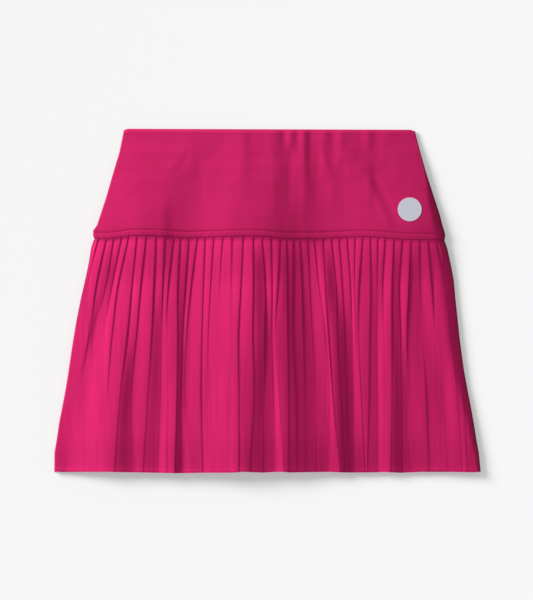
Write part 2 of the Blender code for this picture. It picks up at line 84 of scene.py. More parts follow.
SIDES = ("y", "left", "right")
YOKE_SIDES = [
    (144.4, -120.6, 123.4),
    (125.0, -124.5, 128.5),
    (106.0, -130.2, 133.9),
    (88.0, -135.3, 139.8),
    (72.0, -140.5, 145.0),
    (63.0, -143.5, 147.3),
    (59.0, -146.5, 148.6),
    (55.0, -146.8, 149.6),
    (50.5, -145.2, 149.0),
]
SKIRT_SIDES = [
    (60.0, -139.5, 143.0),
    (53.0, -143.5, 146.4),
    (51.4, -145.6, 148.6),
    (49.0, -146.8, 149.4),
    (44.0, -148.4, 151.2),
    (32.0, -150.2, 153.9),
    (18.0, -153.2, 156.6),
    (0.0, -157.3, 158.3),
    (-16.0, -160.5, 160.0),
    (-32.0, -163.3, 161.7),
    (-50.0, -166.0, 164.1),
    (-70.0, -168.9, 166.9),
    (-84.0, -171.6, 170.1),
    (-103.0, -175.3, 173.6),
    (-118.0, -177.5, 175.9),
    (-128.0, -179.2, 177.8),
    (-144.4, -179.4, 179.4),
]
SEAM_LINE = [
    (-147.0, 51.7),
    (-131.0, 52.0),
    (-116.0, 54.4),
    (-97.0, 54.6),
    (-69.0, 52.7),
    (-53.0, 53.1),
    (-19.0, 54.3),
    (-2.0, 53.9),
    (9.0, 52.6),
    (22.0, 52.0),
    (43.0, 52.1),
    (57.0, 52.8),
    (78.0, 53.8),
    (94.0, 53.2),
    (105.0, 51.9),
    (121.0, 51.1),
    (149.0, 50.9),
]
print("waist at", round(WAIST_Y, 1), "and hem at", round(HEM_Y, 1))

# %% [markdown]
# ### Reading the tables
#
# An outline is read along straight lines between its rows. Where a straight line would show as a kink in
# the cloth, a calm curve is read instead: a chain of cubics that is level at each top and bottom, so that
# it never swings past a measured height.


# %% Reading the tables
def read(table, key, column=1):
    """A column of a table, read between its rows at values of the first column."""
    rows = np.array(sorted(table))
    return np.interp(key, rows[:, 0], rows[:, column])


def sides(table, y):
    """The left and right edges of an outline at a level."""
    return read(table, y, SIDES.index("left")), read(table, y, SIDES.index("right"))


def smooth(t):
    """Eases from 0 to 1."""
    t = np.clip(t, 0, 1)
    return t * t * (3 - 2 * t)


def seam_y(x):
    """The level of the seam between yoke and skirt, at a place across the garment."""
    return read(SEAM_LINE, x)


def wave(start, end, start_slope, end_slope, t):
    """A cubic from start to end with those slopes."""
    return (start * (2 * t**3 - 3 * t**2 + 1) + end * (3 * t**2 - 2 * t**3)
            + start_slope * (t**3 - 2 * t**2 + t) + end_slope * (t**3 - t**2))


def calm_slopes(x, z):
    """Slopes for a curve through points that never overshoots them: level at each top and bottom."""
    rise = np.diff(z) / np.diff(x)
    before, after = rise[:-1], rise[1:]
    same_way = before * after > 0
    mean = np.where(same_way, 2 * before * after / np.where(same_way, before + after, 1), 0)
    return np.concatenate([[rise[0]], mean, [rise[-1]]])


def calm_curve(x, z, at):
    """The calm curve through points, read at other places."""
    slope = calm_slopes(x, z)
    at = np.clip(at, x[0], x[-1])
    i = np.clip(np.searchsorted(x, at, side="right") - 1, 0, len(x) - 2)
    width = x[i + 1] - x[i]
    return wave(z[i], z[i + 1], slope[i] * width, slope[i + 1] * width, (at - x[i]) / width)


print("the seam waves between", min(y for _, y in SEAM_LINE), "and", max(y for _, y in SEAM_LINE))

# %% [markdown]
# ## Cloth from a grid
#
# A sewn panel is one sheet of cloth, so each panel here starts as one grid. Every grid point is then moved
# to a point of the panel, and the whole grid is extruded once for the cloth's thickness. A Solidify
# modifier could do that too, but in a sharp fold its inner side would cross itself. Here the inner side is
# worked out row by row as the lowest path that stays one thickness away from the outer side.

# %% A thin shell from rows of points
CLOTH = 0.55
WALL_STEPS = np.linspace(-1, 1, 11)
SHARP_ANGLE = math.radians(60)


def inner_side(xs, zs, wall, way):
    """The far side of the cloth along one row, at least one thickness away from the near side."""
    steps = WALL_STEPS * wall
    away = np.sqrt(np.maximum(wall**2 - steps**2, 0))
    near = np.interp(xs[:, None] + steps, xs, zs)
    return (near - away).min(axis=1) if way < 0 else (near + away).max(axis=1)


def cloth_shell(name, xs, ys, zs, way, wall=CLOTH):
    """A closed shell from arrays of x, y and z, one row of the panel to each row of the arrays."""
    rows, columns = xs.shape
    mesh = bmesh.new()
    bmesh.ops.create_grid(mesh, x_segments=columns - 1, y_segments=rows - 1, size=1)
    near = list(mesh.verts)
    raised = bmesh.ops.extrude_face_region(mesh, geom=mesh.faces[:])["geom"]
    far = [vert for vert in raised if isinstance(vert, bmesh.types.BMVert)]
    far_z = np.array([inner_side(x, z, wall, way) for x, z in zip(xs, zs)])
    for verts, heights in ((near, zs), (far, far_z)):
        for vert in verts:
            i = round((1 - vert.co.y) / 2 * (rows - 1))
            j = round((1 + vert.co.x) / 2 * (columns - 1))
            vert.co = (xs[i, j] * MM, ys[i, j] * MM, heights[i, j] * MM)
    bmesh.ops.recalc_face_normals(mesh, faces=mesh.faces[:])
    return as_object(name, mesh)


def as_object(name, mesh):
    """Makes an object of a bmesh, shaded smooth but for its sharp edges."""
    data = bpy.data.meshes.new(name)
    mesh.to_mesh(data)
    mesh.free()
    data.shade_smooth()
    data.set_sharp_from_angle(angle=SHARP_ANGLE)
    made = bpy.data.objects.new(name, data)
    bpy.context.scene.collection.objects.link(made)
    print(name, "has", len(data.polygons), "faces")
    return made


# %% [markdown]
# ## How the layers lie
#
# Laid flat, the garment is a stack: the skirt's back, the shorts' back and front, then the skirt's front.
# The front can't sink below what is under it, and at its side edges it turns down to meet the back. The
# front isn't level either: the elastic at the waist gathers it, and it lies in broad soft waves with the
# highest one left of the middle. One row of the table is one place across the garment, with the height of
# the wave there at five levels of the yoke. Three soft creases slant down across the yoke as well: each has
# the places of its upper and lower end, its width and its rise.

# %% The stack under the front, and its broad waves
OVER_SHORTS = 5.5
OVER_BACK = 2.9
SHORTS_REACH = 134.0
LEFT_FALLS_BELOW = 90.0
SHORTS_END = -111.0
HEM_FALL = 34.0
HEM_FALLS_BY = 1.2

WAVE_LEVELS = np.array([136.0, 122.0, 110.0, 97.0, 64.0])
WAVES = [
    (-148.0, 0.0, 0.2, 0.3, 0.3, 0.6),
    (-136.0, 0.2, 0.4, 0.6, 0.7, 1.4),
    (-120.0, 0.4, 0.9, 1.1, 1.5, 2.1),
    (-106.0, 0.5, 1.2, 1.4, 1.8, 2.7),
    (-90.0, 0.5, 1.2, 1.5, 1.8, 2.5),
    (-78.0, 0.5, 1.1, 1.6, 1.6, 1.4),
    (-65.0, 0.7, 1.1, 1.4, 1.2, 1.0),
    (-57.0, 0.7, 0.9, 1.1, 1.1, 1.2),
    (-48.0, 0.7, 0.8, 1.3, 1.4, 1.8),
    (-38.0, 0.7, 1.0, 1.5, 1.8, 2.6),
    (-30.0, 0.9, 1.3, 1.8, 2.2, 3.1),
    (-20.5, 1.2, 1.6, 2.2, 2.5, 3.3),
    (-13.0, 0.9, 1.3, 1.9, 2.4, 3.4),
    (-4.5, 0.9, 1.2, 1.8, 2.3, 3.3),
    (4.0, 1.1, 1.3, 1.8, 2.2, 2.9),
    (9.0, 0.9, 1.0, 1.6, 1.8, 2.5),
    (14.0, 0.4, 0.6, 1.1, 1.3, 2.0),
    (19.5, 0.8, 0.3, 0.6, 0.8, 1.5),
    (25.0, 0.4, 0.5, 0.8, 0.8, 1.0),
    (30.5, 0.9, 0.8, 0.9, 0.9, 0.7),
    (36.5, 0.2, 0.1, 0.2, 0.4, 0.3),
    (42.0, 0.4, 0.1, 0.0, 0.0, 0.1),
    (48.0, 0.8, 0.5, 0.4, 0.1, 0.0),
    (55.0, 0.4, 0.3, 0.4, 0.4, 0.1),
    (62.0, 0.9, 0.8, 0.4, 0.4, 0.3),
    (69.0, 0.6, 0.9, 0.8, 0.6, 0.6),
    (78.0, 0.5, 0.6, 1.0, 1.0, 1.2),
    (84.5, 0.8, 0.5, 0.8, 1.2, 1.5),
    (91.0, 0.4, 0.4, 0.4, 0.8, 1.8),
    (99.5, 0.6, 0.7, 0.5, 0.9, 2.1),
    (111.0, 0.4, 0.9, 0.9, 1.1, 2.4),
    (124.0, 0.2, 0.8, 1.0, 1.2, 2.6),
    (137.0, 0.0, 0.3, 0.8, 1.0, 2.4),
    (149.0, 0.0, 0.0, 0.2, 0.6, 1.4),
]
WAVES_FULL = SEAM_MEAN - 4.0
WAVES_END = 12.0
CREASE_FADE = 0.3
CREASES = [
    (84.0, 110.0, 109.5, 54.0, 4.5, 0.5),
    (42.0, 141.0, 58.0, 98.0, 3.5, 0.2),
    (-66.0, 128.0, -82.0, 104.0, 5.0, 0.2),
]
RIGHT_ROUND = [
    (HEM_Y, 3.0),
    (-76.0, 9.0),
    (-26.0, 13.0),
    (12.0, 14.0),
    (44.0, 6.0),
    (60.0, 9.0),
    (80.0, 8.5),
    (100.0, 2.0),
    (112.0, 0.8),
    (WAIST_Y, 0.7),
]
print(len(WAVES), "places across the waves, and", len(CREASES), "creases")

# %% [markdown]
# ### How far up the stack pushes the front
#
# Over the shorts the front lies highest. Past them it falls: on the left in one slope out to the edge, down
# to what the back alone gives, and below the shorts' hems by a little, in one soft slope.


# %% The lowest level of the front, and what lies on it
def past_shorts(x, y):
    """From 0 over the shorts to 1 at the skirt's left edge, but not yet near the seam."""
    left, _ = sides(SKIRT_SIDES, y)
    past = np.clip((x + SHORTS_REACH) / (left + SHORTS_REACH), 0, 1)
    return past * smooth((SEAM_MEAN - y) / LEFT_FALLS_BELOW)


def lies_on(x, y):
    """The lowest that the skirt's front may be: over the shorts, or over the back alone."""
    past_side, past_hem = past_shorts(x, y), smooth((SHORTS_END - y) / HEM_FALL)
    return OVER_SHORTS - (OVER_SHORTS - OVER_BACK) * past_side - HEM_FALLS_BY * past_hem * (1 - past_side)


def crease(x, y):
    """The slanting creases: each is a soft ridge with a trough to the right of it."""
    height = 0.0
    for x1, y1, x2, y2, width, rise in CREASES:
        length = np.hypot(x2 - x1, y2 - y1)
        along = ((x - x1) * (x2 - x1) + (y - y1) * (y2 - y1)) / length**2
        across = ((x - x1) * (y1 - y2) + (y - y1) * (x2 - x1)) / length / width
        bent = rise * across * np.exp(-(across**2))
        height = height - bent * smooth(along / CREASE_FADE) * smooth((1 - along) / CREASE_FADE)
    return height


def broad_wave(x, y):
    """The height of the broad waves. Below the yoke they pass over into the pleats."""
    table = np.array(WAVES)
    at_levels = [calm_curve(table[:, 0], table[:, 1 + i], x) for i in range(len(WAVE_LEVELS))]
    height = at_levels[-1]
    for above, below, z in zip(WAVE_LEVELS[-2::-1], WAVE_LEVELS[:0:-1], at_levels[-2::-1]):
        height = height + (z - height) * smooth((y - below) / (above - below))
    return height * smooth((y - WAVES_END) / (WAVES_FULL - WAVES_END))


def turned_down(x, left, right, z, edge_z, left_round, right_round):
    """Rounds a front panel's side edges down to the back, over a width at each side."""
    d = np.clip(np.minimum((x - left) / left_round, (right - x) / right_round), 0, 1)
    return edge_z + (z - edge_z) * np.sqrt(1 - (1 - d) ** 2)


def right_round(y):
    """The right side falls off softly at the hip, and more sharply at the waist and the hem."""
    return read(RIGHT_ROUND, y)


print("the front lies", OVER_BACK, "to", OVER_SHORTS, "mm above the table")

# %% [markdown]
# ## The pleats
#
# Knife pleats are folded, steamed and sewn in at the seam, so near it they are even. Below, the cloth hangs
# and spreads as it likes: some folds die out, others gather into deep ones. One row of the table is one
# fold line, with its place across the garment at five levels from the seam to the hem.

# %% The fold lines
LEVELS = np.array([50.0, 12.0, -26.0, -76.0, -140.0])
PLEAT_LINES = [
    (-142.6, -151.2, -150.8, -162.1, -169.3),
    (-135.7, -143.9, -148.3, -154.1, -154.1),
    (-129.4, -135.7, -144.9, -144.9, -147.8),
    (-123.1, -130.6, -137.3, -139.9, -142.4),
    (-117.2, -125.6, -130.1, -134.2, -137.3),
    (-110.0, -113.8, -117.2, -123.1, -128.1),
    (-102.1, -106.4, -109.6, -114.2, -113.4),
    (-93.7, -95.3, -97.0, -100.0, -104.2),
    (-86.1, -87.8, -88.9, -89.9, -92.0),
    (-79.0, -83.2, -84.8, -83.6, -84.4),
    (-73.3, -75.3, -75.3, -75.8, -77.3),
    (-66.2, -68.9, -71.0, -72.3, -72.7),
    (-59.2, -64.1, -67.5, -69.6, -64.3),
    (-52.5, -53.8, -54.9, -55.7, -54.3),
    (-45.4, -47.8, -49.6, -49.7, -48.3),
    (-37.8, -40.4, -41.6, -42.4, -42.4),
    (-29.8, -30.1, -29.8, -31.5, -33.2),
    (-20.6, -22.3, -24.3, -24.0, -23.9),
    (-12.0, -11.8, -12.3, -11.3, -14.7),
    (-4.6, -1.9, -2.1, -2.8, -3.8),
    (2.9, 3.8, 3.6, 4.9, 5.6),
    (10.5, 8.6, 6.7, 9.7, 14.3),
    (16.1, 16.8, 17.2, 17.6, 18.1),
    (21.8, 21.4, 21.4, 23.9, 24.8),
    (27.3, 29.1, 30.1, 31.5, 32.3),
    (33.7, 35.5, 37.6, 40.2, 40.7),
    (39.1, 43.2, 48.3, 51.7, 50.8),
    (46.6, 48.5, 51.2, 54.6, 60.9),
    (53.6, 57.7, 58.6, 61.3, 65.1),
    (60.1, 62.8, 64.7, 65.9, 68.5),
    (66.9, 69.6, 71.1, 71.8, 72.1),
    (73.3, 73.1, 73.7, 75.2, 76.9),
    (79.7, 76.9, 76.4, 78.5, 81.9),
    (86.2, 86.8, 86.1, 85.5, 84.0),
    (92.4, 92.0, 91.6, 92.0, 92.5),
    (98.5, 96.7, 97.4, 97.9, 97.9),
    (106.1, 104.6, 104.6, 104.6, 103.7),
    (112.9, 110.5, 111.7, 112.6, 113.0),
    (120.1, 118.9, 117.2, 118.4, 118.9),
    (127.3, 128.2, 130.0, 133.1, 135.7),
    (134.6, 138.0, 140.7, 147.1, 151.2),
    (141.4, 149.1, 153.7, 159.2, 163.4),
    (144.6, 153.7, 158.3, 164.2, 167.6),
]
print(len(PLEAT_LINES), "fold lines")

# %% [markdown]
# ### How high each pleat stands
#
# Just left of a fold line the cloth stands at a crest, and just right of it at a foot. A crest above its
# foot is a pressed fold that faces right, and the difference is what one layer over another gives. Where
# both are equal the fold has died out and only a soft wave is left. The columns are crest and foot at the
# four levels below the seam.

# %% The heights beside the lines
SEAM_CREST = 0.5
SEAM_FOOT = 0.15
PLEAT_HEIGHTS = [
    (2.1, 2.1, 3.0, 3.0, 2.6, 2.6, 1.0, 1.0),
    (2.4, 1.9, 2.6, 2.6, 2.6, 2.6, 2.6, 2.6),
    (1.7, 1.5, 2.1, 2.1, 3.4, 3.4, 3.4, 3.4),
    (1.4, 1.2, 2.3, 2.3, 3.8, 3.8, 4.1, 4.1),
    (1.8, 1.4, 3.0, 2.7, 4.1, 4.0, 4.7, 4.7),
    (2.3, 1.9, 3.6, 3.1, 4.7, 4.5, 5.2, 5.0),
    (2.7, 2.2, 3.5, 3.2, 3.4, 3.2, 3.9, 3.8),
    (3.0, 2.4, 4.0, 3.6, 4.1, 3.9, 4.2, 4.0),
    (2.8, 2.4, 3.2, 3.1, 3.3, 3.2, 3.8, 3.8),
    (2.7, 2.3, 3.4, 3.4, 3.8, 3.8, 4.9, 4.8),
    (2.6, 2.1, 3.7, 3.2, 4.3, 3.9, 5.5, 4.7),
    (1.9, 1.4, 2.8, 2.5, 3.4, 3.1, 4.2, 4.0),
    (1.7, 1.3, 2.7, 2.5, 3.2, 3.1, 4.9, 4.9),
    (2.2, 1.9, 3.5, 3.2, 4.2, 3.9, 5.3, 5.1),
    (2.6, 2.3, 3.8, 3.6, 4.3, 4.3, 6.0, 6.0),
    (3.0, 2.9, 4.4, 4.4, 5.2, 5.2, 6.8, 6.8),
    (4.0, 3.9, 5.8, 5.8, 6.6, 6.6, 7.9, 7.9),
    (4.7, 4.3, 6.2, 5.8, 7.2, 7.0, 8.9, 8.6),
    (5.3, 4.9, 6.7, 6.3, 6.9, 6.6, 8.3, 8.0),
    (4.0, 3.5, 5.6, 4.9, 5.5, 5.3, 6.9, 6.7),
    (4.0, 3.7, 4.9, 4.7, 5.0, 4.9, 6.1, 6.1),
    (4.1, 3.6, 5.0, 5.0, 5.6, 5.6, 7.2, 7.1),
    (3.2, 2.6, 4.6, 4.1, 5.4, 5.0, 6.8, 6.6),
    (2.3, 1.7, 3.6, 3.2, 4.3, 4.0, 5.8, 5.6),
    (1.3, 0.8, 2.4, 2.0, 3.1, 2.9, 4.7, 4.6),
    (0.7, 0.4, 1.5, 1.3, 2.2, 2.1, 3.7, 3.6),
    (1.0, 0.8, 2.1, 2.0, 2.5, 2.5, 2.9, 2.9),
    (1.5, 1.3, 2.2, 1.9, 2.9, 2.7, 3.7, 3.5),
    (0.3, 0.0, 1.7, 1.3, 2.2, 1.8, 2.4, 2.1),
    (0.3, 0.0, 0.6, 0.2, 1.0, 0.6, 1.5, 1.2),
    (0.5, 0.2, 0.0, 0.0, 0.0, 0.0, 0.8, 0.7),
    (0.6, 0.5, 0.4, 0.4, 0.7, 0.7, 1.0, 1.0),
    (0.8, 0.4, 0.5, 0.4, 1.1, 1.0, 1.1, 0.9),
    (0.9, 0.5, 0.8, 0.4, 1.1, 0.8, 1.1, 0.9),
    (0.6, 0.5, 0.3, 0.2, 0.6, 0.5, 0.7, 0.7),
    (0.7, 0.5, 0.9, 0.9, 1.3, 1.3, 1.5, 1.5),
    (1.4, 0.8, 1.5, 1.0, 1.8, 1.6, 2.1, 1.9),
    (0.8, 0.4, 0.6, 0.3, 0.5, 0.3, 0.7, 0.5),
    (1.3, 0.4, 0.9, 0.4, 0.2, 0.2, 0.3, 0.2),
    (0.6, 0.4, 0.3, 0.3, 0.7, 0.4, 0.8, 0.6),
    (1.2, 0.7, 0.9, 0.9, 0.3, 0.3, 1.5, 1.4),
    (1.2, 1.0, 1.5, 1.4, 1.3, 1.2, 2.2, 2.1),
    (1.0, 0.9, 1.4, 1.3, 1.2, 1.1, 2.5, 2.4),
]
print("the highest fold stands", max(max(row) for row in PLEAT_HEIGHTS), "mm")


# %% [markdown]
# ### From the tables to cloth
#
# Between two fold lines the pleat's face rises from one foot to the next crest. The face is a smooth wave
# through the mean heights at its lines, plus a straight ramp that takes up the step at each fold. That way
# a pressed fold keeps its sharp step, while a fold that has died out leaves no kink at all.

# %% The profile of the skirt's front at one level
FOLD_HALF = 0.6
BULGE = 0.1
FULL_STEP = 0.5
LEAST_COLUMN = 0.05
FOLD_COLUMNS = np.linspace(-1, 1, 6)
FACE_COLUMNS = np.linspace(0, 1, 10)[1:-1]
EDGE_COLUMNS = np.array([0.0, 0.1, 0.3, 0.7, 1.3, 2.0])


def through(rows, level):
    """A smooth curve through each row's five values, read at a level between them."""
    at, values = LEVELS[::-1], rows[:, ::-1]
    level = np.clip(level, at[0], at[-1])
    slope = np.gradient(values, at, axis=1)
    i = min(np.searchsorted(at, level, side="right") - 1, len(at) - 2)
    width = at[i + 1] - at[i]
    return wave(values[:, i], values[:, i + 1], slope[:, i] * width, slope[:, i + 1] * width,
                (level - at[i]) / width)


def beside_lines(y):
    """Each fold line's place, crest and foot at a level, with the side edges as the first and last."""
    left, right = sides(SKIRT_SIDES, y)
    heights = np.array(PLEAT_HEIGHTS)
    seam = np.ones((len(heights), 1))
    crest = np.maximum(through(np.hstack([SEAM_CREST * seam, heights[:, 0::2]]), y), 0)
    foot = np.maximum(through(np.hstack([SEAM_FOOT * seam, heights[:, 1::2]]), y), 0)
    line = through(np.array(PLEAT_LINES), y)
    first, last = foot[0], foot[-1]
    return (np.concatenate([[left], line, [right]]), np.concatenate([[first], crest, [last]]),
            np.concatenate([[first], foot, [last]]))


@functools.cache
def skirt_profile(y):
    """The columns of the skirt's front at a level: x, and the height above what it lies on."""
    line, crest, foot = beside_lines(y)
    mean, step, width = (crest + foot) / 2, crest - foot, np.diff(line)[:, None]
    slope = calm_slopes(line, mean)[:, None]
    start, end = line[:-1] + FOLD_HALF, line[1:] - FOLD_HALF
    start[0], end[-1] = line[0] + EDGE_COLUMNS[-1], line[-1] - EDGE_COLUMNS[-1]
    t = FACE_COLUMNS[None, :]
    face_x = start[:, None] + (end - start)[:, None] * t
    along = np.clip((face_x - line[:-1, None]) / width, 0, 1)
    face_z = wave(mean[:-1, None], mean[1:, None], slope[:-1] * width, slope[1:] * width, along)
    pressed = np.clip((step[:-1] + step[1:]) / (2 * FULL_STEP), 0, 1)[:, None]
    ramp = (step[1:, None] * t - step[:-1, None] * (1 - t)) / 2
    face_z = face_z + ramp + BULGE * pressed * np.sin(np.pi * t)
    across = FOLD_COLUMNS[None, :]
    fold_x = line[1:-1, None] + FOLD_HALF * across
    drop = step[1:-1, None] * (0.5 - smooth((across + 1) / 2))
    fold_z = mean[1:-1, None] + slope[1:-1] * FOLD_HALF * across + drop
    xs = np.concatenate([line[0] + EDGE_COLUMNS, np.hstack([face_x[:-1], fold_x]).ravel(), face_x[-1],
                         line[-1] - EDGE_COLUMNS[::-1]])
    first, last = np.full(len(EDGE_COLUMNS), foot[0]), np.full(len(EDGE_COLUMNS), foot[-1])
    zs = np.concatenate([first, np.hstack([face_z[:-1], fold_z]).ravel(), face_z[-1], last])
    return line[0], line[-1], kept_in_order(xs), zs


def kept_in_order(xs, least=LEAST_COLUMN):
    """Moves columns sideways where two would meet or pass each other."""
    steps = np.arange(len(xs)) * least
    forward = np.maximum.accumulate(xs - steps) + steps
    limit = xs[-1] - (len(xs) - 1 - np.arange(len(xs))) * least
    return np.minimum(forward, limit)


print("columns across the skirt:", len(skirt_profile(0.0)[2]))

# %% [markdown]
# ### The seam, the hem and the edges
#
# Under the yoke the pleats are stitched down flat, and they stand up again within a few millimetres. At the
# hem the cloth is turned up once and stitched, so a band of double cloth stands a little proud, ends in a
# fine stitched groove, and its lower edge steps a little where one pleat lies over the next.

# %% The skirt's front panel
UNDER_YOKE = 0.2
STANDS_WITHIN = 3.0
STANDS_BY = 0.8
SEAM_LIFT = 0.6
SEAM_RISE = 0.4
STANDS_FADE = 90.0
TUCK = 4.0
FOLLOWS_SEAM_FROM = 20.0
FOLLOWS_SEAM_OVER = 30.0
HEM_EDGE_FROM = 14.0
HEM_EDGE_OVER = 12.0
HEM_TURN = 4.6
HEM_STEP = 0.6
HEM_STITCH_IN = 0.6
HEM_PROUD = 0.18
STITCH_SINK = 0.22
STITCH_HALF = 0.5
SKIRT_EDGE_Z = 2.3
TUCKED_EDGE_Z = 2.5
TUCKED_ABOVE = 47.0
LEFT_ROUND = 0.7
HEM_EDGE = [
    (-179.0, 0.9),
    (-172.0, 1.0),
    (-169.0, 0.5),
    (-140.0, 0.6),
    (-98.0, -0.2),
    (-72.0, -0.6),
    (-56.0, -0.2),
    (-33.0, 0.0),
    (-24.2, 0.3),
    (-23.4, 1.0),
    (-4.0, 0.0),
    (12.0, 0.8),
    (18.0, 0.1),
    (52.0, 0.4),
    (70.0, -0.3),
    (92.0, -0.1),
    (98.0, 0.3),
    (112.0, -0.5),
    (128.0, 0.2),
    (145.0, 0.8),
    (157.0, 0.3),
    (174.0, 0.0),
    (179.0, 0.6),
]
ROW_LEVELS = np.concatenate([
    np.linspace(SEAM_MEAN + TUCK, SEAM_MEAN + 0.2, 4),
    SEAM_MEAN - np.array([0.0, 0.1, 0.2, 0.3, 0.4, 0.8, 1.2, 1.7, 2.3, 3.0, 4.0, 5.5, 7.2, 9.0]),
    np.linspace(42.0, -132.0, 44),
    HEM_Y + np.array([8.0, 5.6, 5.1, 4.7, 4.3, 3.9, 3.4, 2.0, 0.9, 0.35, 0.0]),
])


def stitch_groove(distance):
    """How far a row of stitches pulls the cloth down, at a distance across it."""
    return STITCH_SINK * np.exp(-((distance / STITCH_HALF) ** 2))


def skirt_front_row(level):
    """One row of the skirt's front. Near the seam it follows the seam, and at the hem the hem's edge."""
    _, _, first, _ = skirt_profile(float(level))
    follow = smooth((level - FOLLOWS_SEAM_FROM) / FOLLOWS_SEAM_OVER)
    at_hem = smooth((HEM_Y + HEM_EDGE_FROM - level) / HEM_EDGE_OVER)
    ys = level + follow * (seam_y(first) - SEAM_MEAN) + at_hem * read(HEM_EDGE, first)
    xs, heights, left, right = (np.empty_like(first) for _ in range(4))
    rounded = np.round(ys, 1)
    for y in np.unique(rounded):
        here = rounded == y
        left[here], right[here], columns, column_heights = skirt_profile(float(y))
        xs[here], heights[here] = columns[here], column_heights[here]
    below = seam_y(xs) - ys
    out = smooth(below / STANDS_WITHIN)
    pleats = heights * (UNDER_YOKE + (1 - UNDER_YOKE) * out)
    seam_lift = SEAM_LIFT * smooth(below / SEAM_RISE) * (1 - out)
    lift = STANDS_BY * smooth((ys - SHORTS_END) / STANDS_FADE) + seam_lift
    from_hem = level - HEM_Y
    proud = HEM_PROUD * smooth((HEM_TURN + HEM_STEP / 2 - from_hem) / HEM_STEP)
    turned_hem = proud - stitch_groove(from_hem - HEM_TURN + HEM_STITCH_IN)
    z = lies_on(xs, ys) + pleats + lift + turned_hem + broad_wave(xs, ys)
    edge_z = np.where(ys > TUCKED_ABOVE, TUCKED_EDGE_Z, SKIRT_EDGE_Z)
    return xs, ys, turned_down(xs, left, right, z, edge_z, LEFT_ROUND, right_round(ys))


skirt_rows = [skirt_front_row(level) for level in ROW_LEVELS]
skirt_xs, skirt_ys, skirt_zs = (np.array([row[i] for row in skirt_rows]) for i in range(3))
skirt_front = cloth_shell("pleated_front", skirt_xs, skirt_ys, skirt_zs, way=-1)
print("skirt front stands up to", round(skirt_zs.max(), 1), "mm")

# %% [markdown]
# ## The yoke
#
# The yoke is a smooth knit panel folded over elastic at the waist. Its side edges turn down to the back,
# and from the thin folded waist it rises to the seam, where it lies on the stitched pleats.

# %% How the yoke rises
YOKE_EDGE_Z = 2.7
YOKE_PROFILE = [
    (144.4, 2.7),
    (143.4, 2.9),
    (141.0, 3.1),
    (120.0, 4.2),
    (100.0, 5.2),
    (80.0, 6.3),
    (60.0, 7.2),
    (50.0, 7.2),
]
print("the yoke rises from", YOKE_PROFILE[0][1], "to", YOKE_PROFILE[-1][1], "mm")

# %% [markdown]
# ### The yoke's edges
#
# The top edge is a fold, so it is round, with a faint line below it where the casing of the elastic ends.
# The lower edge lies over the skirt and is held by a coverstitch: two rows of stitches a twin needle apart,
# each in its own shallow groove.

# %% The yoke's front panel
WAIST_SLOPE = -0.0036
CORNER = 3.0
CORNER_CUT = 0.35
CASING = 5.0
CASING_HALF = 0.8
CASING_SINK = 0.07
TWIN_NEEDLE = 4.8
LOWER_ROW = 0.1
WAIST_ROUND = 2.5
EDGE_THIN = 0.12
EDGE_WITHIN = 0.3
LOWER_ROW_SINK = 0.4
YOKE_LENGTH = 91.4
YOKE_SHARES = np.concatenate([
    np.array([0.0, 0.4, 0.9, 1.6, 2.6, 3.6, 4.4, 5.0, 5.6, 6.6]) / YOKE_LENGTH,
    np.linspace(8.5, 82.0, 38) / YOKE_LENGTH,
    1 - np.array([7.0, 6.0, 5.6, 5.3, 5.1, 4.9, 4.7, 4.5, 4.2,
                  3.8, 2.8, 1.8, 1.1, 0.8, 0.6, 0.4, 0.2, 0.0]) / YOKE_LENGTH,
])
YOKE_TURN = np.array([0.0, 0.0003, 0.001, 0.002, 0.0035, 0.0055, 0.009, 0.014, 0.02])
YOKE_FLAT = np.linspace(0.026, 0.974, 170)


def waist_y(x):
    """The folded top edge, a little lower on the right, with small round corners."""
    left, right = sides(YOKE_SIDES, WAIST_Y)
    from_corner = np.minimum(x - left, right - x)
    dip = CORNER_CUT * np.clip(CORNER - from_corner, 0, CORNER)
    return WAIST_Y + WAIST_SLOPE * (x - left) - dip


def yoke_height(x, y):
    """The yoke's front above the table, before its side edges turn down."""
    above = y - seam_y(x)
    z = read(YOKE_PROFILE, y) + (broad_wave(x, y) + crease(x, y)) * smooth((waist_y(x) - y) / WAIST_ROUND)
    z -= EDGE_THIN * (1 - smooth(above / EDGE_WITHIN))
    z -= CASING_SINK * np.exp(-(((waist_y(x) - CASING - y) / CASING_HALF) ** 2))
    z -= LOWER_ROW_SINK * stitch_groove(above - LOWER_ROW) + stitch_groove(above - LOWER_ROW - TWIN_NEEDLE)
    return z


def yoke_rows(shares, across, front):
    """Rows of the yoke from the waist to the seam, at shares of the way down.

    A point's level sets how wide the yoke is there, and that width sets its level, so each is found twice.
    """
    xs, ys = np.empty((len(shares), len(across))), np.empty((len(shares), len(across)))
    for i, share in enumerate(shares):
        y = WAIST_Y + share * (SEAM_MEAN - WAIST_Y)
        for _ in range(2):
            left, right = sides(YOKE_SIDES, y)
            x = left * (1 - across) + right * across
            lower = seam_y(x) if front else SEAM_MEAN
            y = waist_y(x) + share * (lower - waist_y(x))
        xs[i], ys[i] = x, y
    return xs, ys


def yoke_surface(x, y):
    """The yoke's front above the table, with its side edges turned down to the back."""
    left, right = sides(YOKE_SIDES, y)
    return turned_down(x, left, right, yoke_height(x, y), YOKE_EDGE_Z, LEFT_ROUND, right_round(y))


yoke_across = np.concatenate([YOKE_TURN, YOKE_FLAT, 1 - YOKE_TURN[::-1]])
yoke_xs, yoke_ys = yoke_rows(YOKE_SHARES, yoke_across, front=True)
yoke_zs = yoke_surface(yoke_xs, yoke_ys)
yoke_front = cloth_shell("yoke_panel", yoke_xs, yoke_ys, yoke_zs, way=-1)
print("yoke stands up to", round(yoke_zs.max(), 1), "mm")

# %% [markdown]
# ## The back
#
# The back lies on the table, so it is flat there. Its pleats are pressed shut, which leaves one fine groove
# to each fold on the underside. They are evener than the front's, because nothing lifts them.

